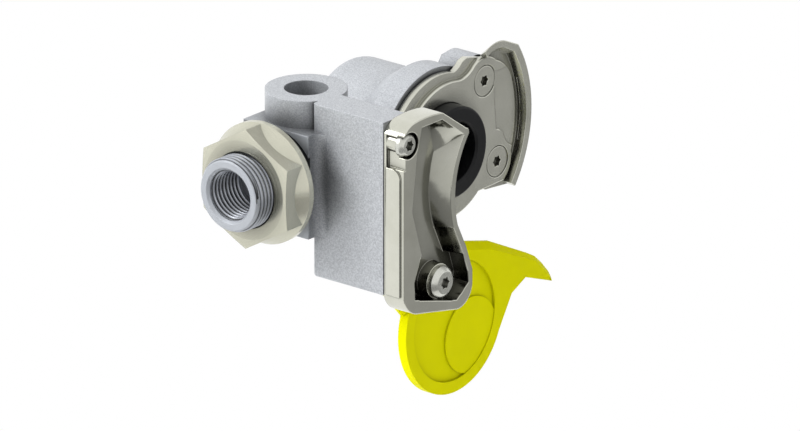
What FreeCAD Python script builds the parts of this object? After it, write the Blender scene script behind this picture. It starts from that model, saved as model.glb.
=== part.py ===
"""Air brake coupling head: bulkhead body, claw plate, guide lug, line filter and swinging lid.

Frame in millimetres: origin on the port axis at the front face of the port block, +X along the
normal of the seal face, the port opens towards -Y, +Z up.
"""
import FreeCAD, Part
import math
import os
import Sketcher
from FreeCAD import Vector

DIMS = {
    # threaded stub and lock nut
    "stub_radius": 10.5, "stub_length": 20.9, "stub_chamfer": 0.4,
    "port_radius": 7.5, "port_depth": 14.0, "port_chamfer": 0.8, "passage_radius": 5.5,
    "nut_flats": 31.0, "nut_height": 11.2, "nut_gap": 3.0, "nut_play": 0.05,
    "nut_face_radius": 14.6, "nut_front_bevel": 1.3, "nut_back_bevel": 3.0,
    "collar_radius": 18.0, "collar_edge": 3.6,
    "collar_cone": 4.2, "nut_lead": 0.8,
    # port block, ear and neck
    "block_half": 12.0, "block_bottom": 16.1, "block_top": 14.8, "spot_radius": 14.6,
    "spot_depth": 0.8, "ear_offset": 13.4, "ear_radius": 11.8, "ear_bore_radius": 6.35,
    "ear_bore_depth": 13.0, "neck_radius": 10.0,
    # bracket wall
    "wall_left": 9.9, "wall_width": 26.0, "wall_front": 4.4, "wall_thick": 10.7,
    "wall_bottom": 28.9, "wall_top": 23.2, "wall_round": 1.0, "web_half": 5.0, "web_reach": 15.0,
    # filter housing about the seal axis
    "seal_y": 57.8, "seal_z": -4.5, "housing_radius": 20.1, "housing_back": 23.0,
    "housing_round": 4.5, "flange_radius": 23.6, "flange_face": 10.0, "flange_depth": 7.8,
    "flare_length": 5.4, "chamber_radius": 16.3, "chamber_floor": 3.6,
    "wall_fillet": 3.0, "gasket_radius": 21.8, "gasket_bore": 16.5,
    # claw plate
    "gasket_thick": 0.6, "plate_base": 1.8, "plate_raise": 1.2, "plate_radius": 22.3,
    "raise_radius": 20.8, "raise_shift_y": 2.7, "raise_shift_z": -1.3, "edge_round": 0.5,
    "seal_hole_radius": 13.75, "lobe_radius": 8.0,
    "upper_y": 76.5, "upper_z": 11.1, "lower_y": 82.2, "lower_z": -14.9,
    "claw_y": 57.75, "claw_z": -1.26, "raise_claw_radius": 35.7, "claw_radius": 37.6, "claw_wall": 1.9,
    "claw_rise": 1.8, "claw_lean": 3.2, "ledge_depth": 0.35,
    # plate screws
    "csk_head_radius": 4.45, "csk_head_depth": 2.5, "plate_shank_radius": 2.5,
    "plate_screw_length": 13.0, "drive_radius": 1.8, "drive_depth": 1.6, "head_play": 0.05, "csk_seat_play": 0.35,
    # seal and line filter
    "seal_radius": 13.6, "seal_bore": 8.9, "seal_front": 18.7, "seal_foot_radius": 16.0,
    "seal_foot": 1.5, "filter_flange": 1.6, "filter_radius": 12.5, "filter_length": 17.0,
    "gauze_thick": 0.4, "basket_wall": 1.4, "basket_windows": 4.0, "window_length": 11.0,
    "window_width": 11.0, "basket_bottom": 1.6,
    "spring_radius": 8.0, "spring_wire": 1.4, "spring_pitch": 3.2,
    "seat_radius": 9.6, "seat_thick": 1.0, "seat_rim": 2.0,
    # guide lug
    "lug_depth": 7.4, "lug_floor": 2.0, "lug_rim": 1.6, "lug_waist": 29.6,
    "pillar_radius": 5.2, "lug_screw_y": 7.2, "lug_screw_z": 17.3, "lug_head_radius": 3.6,
    "lug_head": 2.4, "lug_shank_radius": 2.0, "lug_screw_length": 12.0, "lug_boss_radius": 3.2, "lug_head_play": 0.35,
    "panel_top": 10.3, "panel_raise": 0.5, "dowel_radius": 1.5, "dowel_length": 8.0,
    # lid pivot
    "pivot_y": 22.3, "pivot_z": -28.0, "pivot_boss_radius": 6.0, "pivot_boss_end": 22.9,
    "pivot_shank_radius": 2.5, "pivot_head_radius": 4.75, "pivot_head": 2.6,
    "pillar_height": 3.4, "bush_radius": 3.4, "bush_play": 0.06, "washer_radius": 5.0,
    "washer_thick": 0.8, "wave_thick": 1.0, "wave_radius": 4.9, "nut_m5_flats": 8.0,
    "nut_m5_height": 5.0,
    # lid
    "lid_front": 21.85, "lid_thick": 2.2, "lid_bevel": 2.0,
    "tab_drop": 1.5, "tab_reach": 17.0,
    "dish_depth": 0.8, "dish_border": 3.6, "lid_skirt": 3.0, "lid_wall": 1.8, "hub_radius": 5.2,
    "hub_length": 4.6, "round_y": 53.05, "round_z": -53.45, "round_radius": 21.7,
    "pad_y": 60.75, "pad_z": -59.85, "pad_radius": 11.4, "pad_raise": 0.5,
}

doc = FreeCAD.newDocument("AirBrakeCoupling")
dims = doc.addObject("Spreadsheet::Sheet", "dims")
for row, (alias, number) in enumerate(DIMS.items(), start=1):
    dims.set(f"A{row}", alias.replace("_", " "))
    dims.set(f"B{row}", str(number))
    dims.setAlias(f"B{row}", alias)
doc.recompute()

PARTS = []


def expr(text):
    """Expression with each known alias read from the sheet."""
    out, word = "", ""
    for char in str(text) + " ":
        if char.isalnum() or char == "_":
            word += char
            continue
        out += f"dims.{word}" if word in DIMS else word
        out += char
        word = ""
    return out.strip()


def val(text):
    """Present value of an expression in millimetres."""
    result = dims.evalExpression(expr(text))
    return float(getattr(result, "Value", result))


def bind(obj, prop, text):
    """Tie one property to the sheet."""
    obj.setExpression(prop, expr(text))


def new_body(name):
    """Part body with its own label, kept for the export."""
    made = doc.addObject("PartDesign::Body", name)
    made.Label = name
    PARTS.append(made)
    return made


def place(body, x="0", y="0", z="0"):
    """Body position, by expression."""
    for axis, text in (("x", x), ("y", y), ("z", z)):
        bind(body, f"Placement.Base.{axis}", text)


def new_sketch(body, role, height="0", right="0", up="0"):
    """Sketch on an origin plane of the body, moved along and across it by expression."""
    made = body.newObject("Sketcher::SketchObject", f"{body.Name}_sketch")
    made.AttachmentSupport = [(next(f for f in body.Origin.OriginFeatures if f.Role == role), "")]
    made.MapMode = "FlatFace"
    for axis, text in (("x", right), ("y", up), ("z", height)):
        bind(made, f"AttachmentOffset.Base.{axis}", text)
    return made


def pin_point(sketch, geo, pos, x, y):
    """Tie one point of the sketch to a pair of expressions."""
    for kind, text in (("DistanceX", x), ("DistanceY", y)):
        index = sketch.addConstraint(Sketcher.Constraint(kind, -1, 1, geo, pos, val(text)))
        bind(sketch, f"Constraints[{index}]", text)


def draw_circle(sketch, radius, x="0", y="0"):
    """Full circle with bound centre and radius."""
    circle = Part.Circle(Vector(val(x), val(y), 0), Vector(0, 0, 1), val(radius))
    geo = sketch.addGeometry(circle)
    pin_point(sketch, geo, 3, x, y)
    index = sketch.addConstraint(Sketcher.Constraint("Radius", geo, val(radius)))
    bind(sketch, f"Constraints[{index}]", radius)


def draw_loop(sketch, points):
    """Closed outline. A point is (x, y) or (x, y, radius): the edge that leaves it is then an arc.

    A positive radius bulges to the right of the way from this point to the next one.
    """
    count = len(points)
    ends = [(val(p[0]), val(p[1])) for p in points]
    first = None
    last = None
    for i, point in enumerate(points):
        (ax, ay), (bx, by) = ends[i], ends[(i + 1) % count]
        if len(point) == 2:
            geo = sketch.addGeometry(Part.LineSegment(Vector(ax, ay, 0), Vector(bx, by, 0)))
            head, tail = 1, 2
        else:
            flip = str(point[2]).startswith("-")
            radius = str(point[2]).lstrip("-")
            size = val(radius)
            chord = math.hypot(bx - ax, by - ay)
            sag = size - math.sqrt(max(size * size - chord * chord / 4, 0.0))
            side = -1 if flip else 1
            mid = Vector((ax + bx) / 2 + side * sag * (by - ay) / chord,
                         (ay + by) / 2 - side * sag * (bx - ax) / chord, 0)
            arc = Part.Arc(Vector(ax, ay, 0), mid, Vector(bx, by, 0))
            geo = sketch.addGeometry(arc)
            head, tail = (2, 1) if flip else (1, 2)
            index = sketch.addConstraint(Sketcher.Constraint("Radius", geo, size))
            bind(sketch, f"Constraints[{index}]", radius)
        pin_point(sketch, geo, head, point[0], point[1])
        if last is not None:
            sketch.addConstraint(Sketcher.Constraint("Coincident", last[0], last[1], geo, head))
        else:
            first = (geo, head)
        last = (geo, tail)
    sketch.addConstraint(Sketcher.Constraint("Coincident", last[0], last[1], *first))


def feature(body, kind, sketch, length, back=False, both=False):
    """Pad or pocket of a sketch by a bound length."""
    made = body.newObject(f"PartDesign::{kind}", f"{body.Name}_{kind.lower()}")
    made.Profile = sketch
    made.Reversed = back
    made.Midplane = both
    bind(made, "Length", length)
    doc.recompute()
    body.Tip = made
    return made


def turn(body, kind, sketch, axis):
    """Revolution or groove of a sketch about one of its own axes."""
    made = body.newObject(f"PartDesign::{kind}", f"{body.Name}_{kind.lower()}")
    made.Profile = sketch
    made.ReferenceAxis = (sketch, [axis])
    made.Angle = 360.0
    doc.recompute()
    body.Tip = made
    return made


def disc(body, kind, role, radius, start, length, right="0", up="0", back=False):
    """Round pad or pocket."""
    sketch = new_sketch(body, role, start, right, up)
    draw_circle(sketch, radius)
    return feature(body, kind, sketch, length, back)


def block(body, kind, role, box, start, length, back=False):
    """Rectangular pad or pocket between left, bottom, right and top expressions."""
    left, bottom, right, top = box
    sketch = new_sketch(body, role, start)
    draw_loop(sketch, [(left, bottom), (right, bottom), (right, top), (left, top)])
    return feature(body, kind, sketch, length, back)


def dress(body, kind, prop, size, test):
    """Fillet or chamfer on the edges of the tip for which the test holds."""
    base = body.Tip
    names = [f"Edge{i}" for i, edge in enumerate(base.Shape.Edges, start=1) if test(edge)]
    if not names:
        raise ValueError(f"{body.Label}: no edge to dress")
    made = body.newObject(f"PartDesign::{kind}", f"{body.Name}_{kind.lower()}")
    made.Base = (base, names)
    bind(made, prop, size)
    doc.recompute()
    body.Tip = made
    return made


def at(edge, axis, text, slack=0.01):
    """Whether a whole edge lies at one value of an axis."""
    box = edge.BoundBox
    low, high = getattr(box, f"{axis}Min"), getattr(box, f"{axis}Max")
    return abs(low - val(text)) < slack and abs(high - val(text)) < slack


WALL_X = "(wall_left + wall_width)"
WALL_BACK = "(wall_front + wall_thick)"
PLATE_X = "(flange_face + gasket_thick)"
RAISE_X = "(flange_face + gasket_thick + plate_base)"
FACE_X = "(flange_face + gasket_thick + plate_base + plate_raise)"
FOOT_X = "(flange_face + gasket_thick - seal_foot)"
CAGE_X = "(flange_face + gasket_thick - seal_foot - filter_flange)"
FLOOR_X = "(chamber_floor - housing_back)"
LUG_FLOOR_X = "(wall_left + wall_width + lug_floor)"
RIM_X = "(wall_left + wall_width + lug_depth)"
PILLAR_X = "(wall_left + wall_width + lug_floor + pillar_height)"
WASHER_X = "(pivot_boss_end - washer_thick)"
HUB_X = "(pivot_boss_end - washer_thick - 0.3)"
BUSH_X = "(pivot_boss_end - washer_thick - 0.6 - hub_length)"
NUT_X = "(pivot_boss_end - washer_thick - 0.6 - hub_length - wave_thick)"


def star(sketch, radius):
    """Six-lobed driver recess outline."""
    points = []
    for k in range(12):
        angle = math.radians(30 * k)
        share = 1.0 if k % 2 == 0 else 0.74
        points.append((f"{radius} * {share * math.cos(angle):.5f}",
                       f"{radius} * {share * math.sin(angle):.5f}"))
    draw_loop(sketch, points)


def hexagon(sketch, flats):
    """Hexagon with two corners up and down."""
    points = []
    for k in range(6):
        angle = math.radians(30 + 60 * k)
        points.append((f"{flats} / sqrt(3) * {math.cos(angle):.6f}",
                       f"{flats} / sqrt(3) * {math.sin(angle):.6f}"))
    draw_loop(sketch, points)


def body_casting():
    """One casting: bracket wall, port block with stub and ear, neck and filter housing."""
    cast = new_body("body_casting")
    box = ("wall_front", "-wall_bottom", WALL_BACK, "wall_top")
    block(cast, "Pad", "YZ_Plane", box, "wall_left", "wall_width")
    dress(cast, "Fillet", "Radius", "wall_round",
          lambda e: not at(e, "X", WALL_X) and not at(e, "Z", "wall_top"))
    box = ("-block_half", "-block_bottom", "block_half", "block_top")
    block(cast, "Pad", "XZ_Plane", box, "0", "ear_offset + block_half", back=True)
    dress(cast, "Fillet", "Radius", "wall_fillet",
          lambda e: at(e, "X", "block_half") and at(e, "Y", "wall_front"))
    disc(cast, "Pad", "XY_Plane", "ear_radius", "block_top", "wall_top - block_top",
         up="ear_offset")
    disc(cast, "Pad", "XZ_Plane", "stub_radius", "stub_length", "stub_length + 2", back=True)
    dress(cast, "Chamfer", "Size", "stub_chamfer", lambda e: at(e, "Y", "-stub_length"))
    disc(cast, "Pad", "XZ_Plane", "neck_radius", "-ear_offset", "seal_y - ear_offset - 8",
         back=True)

    web = new_sketch(cast, "XY_Plane", "-web_half")
    draw_loop(web, [("wall_left", f"{WALL_BACK} - 1"), (f"{WALL_X} - 6", f"{WALL_BACK} - 1"),
                    ("wall_left", f"{WALL_BACK} + web_reach")])
    feature(cast, "Pad", web, "2 * web_half")

    disc(cast, "Pad", "YZ_Plane", "pivot_boss_radius", "pivot_boss_end",
         f"{WALL_X} - pivot_boss_end", right="pivot_y", up="pivot_z")
    bridge = new_sketch(cast, "YZ_Plane", "pivot_boss_end")
    draw_loop(bridge, [(f"{WALL_BACK} - 1", "-wall_bottom + 1.5"),
                       ("pivot_y - 1", "pivot_z - pivot_boss_radius * 0.985"),
                       ("pivot_y + 1", "pivot_z + pivot_boss_radius * 0.985"),
                       (f"{WALL_BACK} - 1", "pivot_z + pivot_boss_radius * 2")])
    feature(cast, "Pad", bridge, f"{WALL_X} - pivot_boss_end")

    shell = new_sketch(cast, "XY_Plane", "seal_z", up="seal_y")
    rear = "-housing_back"
    flare = "flange_face - flange_depth"
    draw_loop(shell, [(rear, "0"), ("flange_face", "0"), ("flange_face", "flange_radius"),
                      (flare, "flange_radius"), (f"{flare} - flare_length", "housing_radius"),
                      (f"{rear} + housing_round", "housing_radius", "housing_round"),
                      (rear, "housing_radius - housing_round")])
    turn(cast, "Revolution", shell, "H_Axis")

    lobes = new_sketch(cast, "YZ_Plane", f"{flare} - 1")
    inner = "(lobe_radius - 1)"
    draw_loop(lobes, [("seal_y + 4", "seal_z - flange_radius + 2.5"),
                      ("lower_y", f"lower_z - {inner}", inner),
                      (f"lower_y + {inner}", "lower_z"),
                      (f"upper_y + {inner}", "upper_z", inner),
                      ("upper_y", f"upper_z + {inner}"),
                      ("upper_y - 4.5", f"upper_z + {inner} - 0.5"),
                      ("upper_y - 6.2", "upper_z + 4.2"),
                      ("seal_y + 4", "seal_z + flange_radius - 3.5")])
    feature(cast, "Pad", lobes, "flange_depth + 1")

    # machined faces and bores
    spot = new_sketch(cast, "XZ_Plane", "0")
    draw_circle(spot, "stub_radius")
    draw_circle(spot, "spot_radius")
    feature(cast, "Pocket", spot, "spot_depth")
    disc(cast, "Pocket", "YZ_Plane", "chamber_radius", "flange_face",
         f"flange_face - {FLOOR_X}", right="seal_y", up="seal_z")
    disc(cast, "Pocket", "XZ_Plane", "port_radius", "stub_length", "port_depth")
    dress(cast, "Chamfer", "Size", "port_chamfer",
          lambda e: at(e, "Y", "-stub_length") and e.BoundBox.XMax < val("port_radius + 0.01"))
    disc(cast, "Pocket", "XZ_Plane", "passage_radius", "stub_length", "stub_length + seal_y")
    disc(cast, "Pocket", "XY_Plane", "ear_bore_radius", "wall_top", "ear_bore_depth",
         up="ear_offset")
    for spot_y, spot_z in (("upper_y", "upper_z"), ("lower_y", "lower_z")):
        disc(cast, "Pocket", "YZ_Plane", "plate_shank_radius + head_play", "flange_face",
             f"plate_screw_length - {FACE_X} + flange_face + 1", right=spot_y, up=spot_z)
    disc(cast, "Pocket", "YZ_Plane", "lug_shank_radius + head_play", WALL_X,
         "lug_screw_length", right="lug_screw_y", up="lug_screw_z")
    disc(cast, "Pocket", "YZ_Plane", "dowel_radius + head_play", WALL_X,
         "dowel_length / 2 + 0.2", right="lug_screw_y + 1", up="pivot_z + 6")
    disc(cast, "Pocket", "YZ_Plane", "pivot_shank_radius + head_play", WALL_X,
         f"{WALL_X} - pivot_boss_end + 1", right="pivot_y", up="pivot_z")
    disc(cast, "Pocket", "YZ_Plane", "seat_radius + head_play", f"{FLOOR_X} + 1", "1.4",
         right="seal_y", up="seal_z")


def lock_nut():
    """Bulkhead nut with a flat-bevelled front and a steep rear bevel."""
    nut = new_body("lock_nut")
    front = "(nut_gap + nut_height)"
    shape = new_sketch(nut, "XZ_Plane", front)
    hexagon(shape, "nut_flats")
    feature(nut, "Pad", shape, "nut_height", back=True)
    disc(nut, "Pocket", "XZ_Plane", "stub_radius + nut_play", front, "nut_height")
    collar = new_sketch(nut, "XY_Plane", "0")
    edge = "(-nut_gap - collar_edge)"
    draw_loop(collar, [("stub_radius + nut_play", "-nut_gap"), ("collar_radius", "-nut_gap"),
                       ("collar_radius", edge), ("nut_flats / 2 - 0.4", f"{edge} - collar_cone"),
                       ("stub_radius + nut_play", f"{edge} - collar_cone")])
    turn(nut, "Revolution", collar, "V_Axis")
    lead = new_sketch(nut, "XY_Plane", "0")
    draw_loop(lead, [("0", f"-{front}"), ("stub_radius + nut_play + nut_lead", f"-{front}"),
                     ("stub_radius + nut_play", f"-{front} + nut_lead * 1.6"),
                     ("0", f"-{front} + nut_lead * 1.6")])
    turn(nut, "Groove", lead, "V_Axis")
    for start, run, away in ((f"-{front}", "nut_front_bevel", "nut_face_radius"),
                             ("-nut_gap", "-nut_back_bevel", "nut_face_radius + 0.6")):
        bevel = new_sketch(nut, "XY_Plane", "0")
        draw_loop(bevel, [(away, start), ("nut_flats * 0.65", start),
                          ("nut_flats * 0.65", f"{start} + {run}")])
        turn(nut, "Groove", bevel, "V_Axis")


def claw_plate():
    """Nickel face plate: stepped round with two screw lobes and the curved claw wall."""
    plate = new_body("claw_plate")
    outer = "claw_radius"
    rim_y = {k: f"claw_y + {v}" for k, v in {"top": 31.55, "peak": 25.85, "end": 16.65,
                                            "low": 30.25}.items()}
    base = new_sketch(plate, "YZ_Plane", PLATE_X)
    draw_loop(base, [("seal_y + plate_radius * 0.70", "seal_z - plate_radius * 0.71414"),
                     ("lower_y - 4", "lower_z - lobe_radius + 0.2"),
                     (rim_y["low"], "claw_z - 22.33", outer),
                     (rim_y["top"], "claw_z + 20.46 - claw_lean * 0.7"),
                     (f"{rim_y['peak']} + claw_lean * 0.5", "claw_z + 23.1 - claw_lean", "10"),
                     (f"{rim_y['end']} + claw_lean", "claw_z + 22.1 - claw_lean"),
                     ("seal_y + 12", "claw_z + 21.0"), ("seal_y + 10", "claw_z + 20.4", "-7"),
                     ("seal_y + plate_radius * 0.28", "seal_z + plate_radius * 0.96",
                      "plate_radius"),
                     ("seal_y - plate_radius", "seal_z", "plate_radius")])
    feature(plate, "Pad", base, "plate_base")

    rise = new_sketch(plate, "YZ_Plane", RAISE_X)
    mid_y, mid_z = "(seal_y + raise_shift_y)", "(seal_z + raise_shift_z)"
    draw_loop(rise, [(f"{mid_y} + raise_radius * 0.64", f"{mid_z} - raise_radius * 0.76837"),
                     ("lower_y - 3", "lower_z - lobe_radius + 1.2"),
                     ("lower_y + 3", "lower_z - lobe_radius + 1.4", "lobe_radius"),
                     ("lower_y + lobe_radius - 1.6", "lower_z + 1.5",
                      "raise_claw_radius"),
                     ("claw_y + 31.8", "claw_z + 8.4", "13"),
                     ("upper_y + 5.2", "upper_z + 5.2", "lobe_radius - 0.4"),
                     ("upper_y - 5.6", "upper_z + 5.2", "-8"),
                     (f"{mid_y} + raise_radius * 0.2", f"{mid_z} + raise_radius * 0.97980",
                      "raise_radius"),
                     (f"{mid_y} - raise_radius", mid_z, "raise_radius")])
    feature(plate, "Pad", rise, "plate_raise")
    dress(plate, "Fillet", "Radius", "edge_round", lambda e: at(e, "X", FACE_X))

    inner = "(claw_radius - claw_wall)"
    sections = []
    for height, lean in ((PLATE_X, "claw_lean"), (f"{FACE_X} + claw_rise", "0 * claw_lean")):
        top, peak, end = (rim_y["top"], f"({rim_y['peak']} + {lean} * 0.5)",
                          f"({rim_y['end']} + {lean})")
        band = new_sketch(plate, "YZ_Plane", height)
        draw_loop(band, [(rim_y["low"], "claw_z - 22.33", outer),
                         (top, f"claw_z + 20.46 - {lean} * 0.7"),
                         (peak, f"claw_z + 23.1 - {lean}", "10"),
                         (end, f"claw_z + 22.1 - {lean}"),
                         (f"{end} + claw_wall * 0.5", f"claw_z + 22.1 - claw_wall - {lean}",
                          "-8.5"),
                         (f"{peak} - claw_wall * 0.3", f"claw_z + 23.1 - claw_wall - {lean}"),
                         (f"{top} - claw_wall * 0.95",
                          f"claw_z + 20.46 - claw_wall * 0.85 - {lean} * 0.7", f"-{inner}"),
                         (f"{rim_y['low']} - claw_wall * 0.9",
                          "claw_z - 22.33 + claw_wall * 0.7")])
        sections.append(band)
    claw = plate.newObject("PartDesign::AdditiveLoft", "claw_plate_claw")
    claw.Profile = sections[0]
    claw.Sections = [sections[1]]
    claw.Ruled = True
    doc.recompute()
    plate.Tip = claw

    ledge = new_sketch(plate, "YZ_Plane", FACE_X)
    draw_loop(ledge, [("upper_y + 4.2", "upper_z + 1.8"), ("upper_y + 4.2", "upper_z - 6"),
                      ("upper_y + 5.2", "seal_z - 0.5", "-5"), ("lower_y + 3", "lower_z + 7", "6"),
                      ("lower_y + 7.2", "lower_z + 3"), ("claw_y + 35", "claw_z - 9"),
                      ("claw_y + 35", "claw_z + 8"), ("upper_y + 10", "upper_z + 1.8")])
    feature(plate, "Pocket", ledge, "ledge_depth")
    disc(plate, "Pocket", "YZ_Plane", "seal_hole_radius", FACE_X, f"{FACE_X} - {PLATE_X}",
         right="seal_y", up="seal_z")
    for seat_y, seat_z in (("upper_y", "upper_z"), ("lower_y", "lower_z")):
        seat = new_sketch(plate, "XY_Plane", seat_z, up=seat_y)
        wide, slim = "(csk_head_radius + csk_seat_play)", "(plate_shank_radius + head_play)"
        cone = "(csk_head_radius + 2 * head_play)"
        draw_loop(seat, [(f"{FACE_X} + 1", "0"), (f"{FACE_X} + 1", wide),
                         (f"{FACE_X} - 0.4", wide), (f"{FACE_X} - 0.4", cone),
                         (f"{FACE_X} - 0.4 - {cone} + {slim}", slim),
                         (f"{PLATE_X} - 1", slim), (f"{PLATE_X} - 1", "0")])
        turn(plate, "Groove", seat, "H_Axis")


def countersunk_screw(name, y, z):
    """Six-lobe countersunk screw on its own axis, head outwards."""
    screw = new_body(name)
    shape = new_sketch(screw, "XY_Plane")
    draw_loop(shape, [("0", "0"), ("-plate_screw_length", "0"),
                      ("-plate_screw_length", "plate_shank_radius"),
                      ("-0.3 - csk_head_radius + plate_shank_radius", "plate_shank_radius"),
                      ("-0.3", "csk_head_radius"), ("0", "csk_head_radius")])
    turn(screw, "Revolution", shape, "H_Axis")
    recess = new_sketch(screw, "YZ_Plane", "0")
    star(recess, "drive_radius")
    feature(screw, "Pocket", recess, "drive_depth")
    place(screw, f"{FACE_X} - 0.15", y, z)


def seal_and_filter():
    """Gasket, face seal and the line filter with its spring and seat."""
    gasket = new_body("plate_gasket")
    ring = new_sketch(gasket, "YZ_Plane", "flange_face", "seal_y", "seal_z")
    draw_circle(ring, "gasket_bore")
    draw_circle(ring, "gasket_radius")
    feature(gasket, "Pad", ring, "gasket_thick")

    seal = new_body("seal_ring")
    shape = new_sketch(seal, "XY_Plane")
    draw_loop(shape, [("0", "seal_bore"), (f"seal_front - {FOOT_X} - 0.6", "seal_bore"),
                      (f"seal_front - {FOOT_X}", "seal_bore + 0.6"),
                      (f"seal_front - {FOOT_X}", "seal_radius - 0.8", "0.8"),
                      (f"seal_front - {FOOT_X} - 0.8", "seal_radius"),
                      ("seal_foot", "seal_radius"), ("seal_foot", "seal_foot_radius"),
                      ("0", "seal_foot_radius")])
    turn(seal, "Revolution", shape, "H_Axis")
    place(seal, FOOT_X, "seal_y", "seal_z")

    basket = new_body("filter_basket")
    shape = new_sketch(basket, "XY_Plane")
    tube = "(filter_radius - basket_wall)"
    end = "-filter_length"
    draw_loop(shape, [(end, "0"), (f"{end} + basket_bottom", "0"),
                      (f"{end} + basket_bottom", tube), ("filter_flange", tube),
                      ("filter_flange", "seal_foot_radius"), ("0", "seal_foot_radius"),
                      ("0", "filter_radius"), (end, "filter_radius")])
    turn(basket, "Revolution", shape, "H_Axis")
    for role in ("XY_Plane", "XZ_Plane"):
        hole = new_sketch(basket, role)
        half = "window_width / 2"
        draw_loop(hole, [("-2 - window_length", f"-{half}"), ("-2", f"-{half}"),
                         ("-2", half), ("-2 - window_length", half)])
        feature(basket, "Pocket", hole, "filter_radius * 2 + 2", both=True)
    place(basket, CAGE_X, "seal_y", "seal_z")

    gauze = new_body("filter_gauze")
    ring = new_sketch(gauze, "YZ_Plane", "-window_length - 3.5")
    draw_circle(ring, "filter_radius")
    draw_circle(ring, "filter_radius + gauze_thick")
    feature(gauze, "Pad", ring, "window_length + 3.5")
    place(gauze, CAGE_X, "seal_y", "seal_z")

    seat = new_body("spring_seat")
    shape = new_sketch(seat, "XY_Plane")
    draw_loop(shape, [("0", "2.5"), ("0", "seat_radius"),
                      ("seat_thick + seat_rim", "seat_radius"),
                      ("seat_thick + seat_rim", "seat_radius - 0.8"),
                      ("seat_thick", "seat_radius - 0.8"), ("seat_thick", "2.5")])
    turn(seat, "Revolution", shape, "H_Axis")
    place(seat, f"{FLOOR_X} - 0.4", "seal_y", "seal_z")

    spring = new_body("filter_spring")
    wire = new_sketch(spring, "XY_Plane")
    draw_circle(wire, "spring_wire / 2", "spring_wire / 2", "spring_radius")
    coil = spring.newObject("PartDesign::AdditiveHelix", "spring_coil")
    coil.Profile = wire
    coil.ReferenceAxis = (wire, ["H_Axis"])
    coil.Mode = "pitch-height-angle"
    gap = f"({CAGE_X} - filter_length - {FLOOR_X} + 0.4 - seat_thick)"
    bind(coil, "Pitch", f"({gap} - spring_wire) / 3")
    bind(coil, "Height", f"{gap} - spring_wire")
    doc.recompute()
    spring.Tip = coil
    place(spring, f"{FLOOR_X} - 0.4 + seat_thick", "seal_y", "seal_z")


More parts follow.
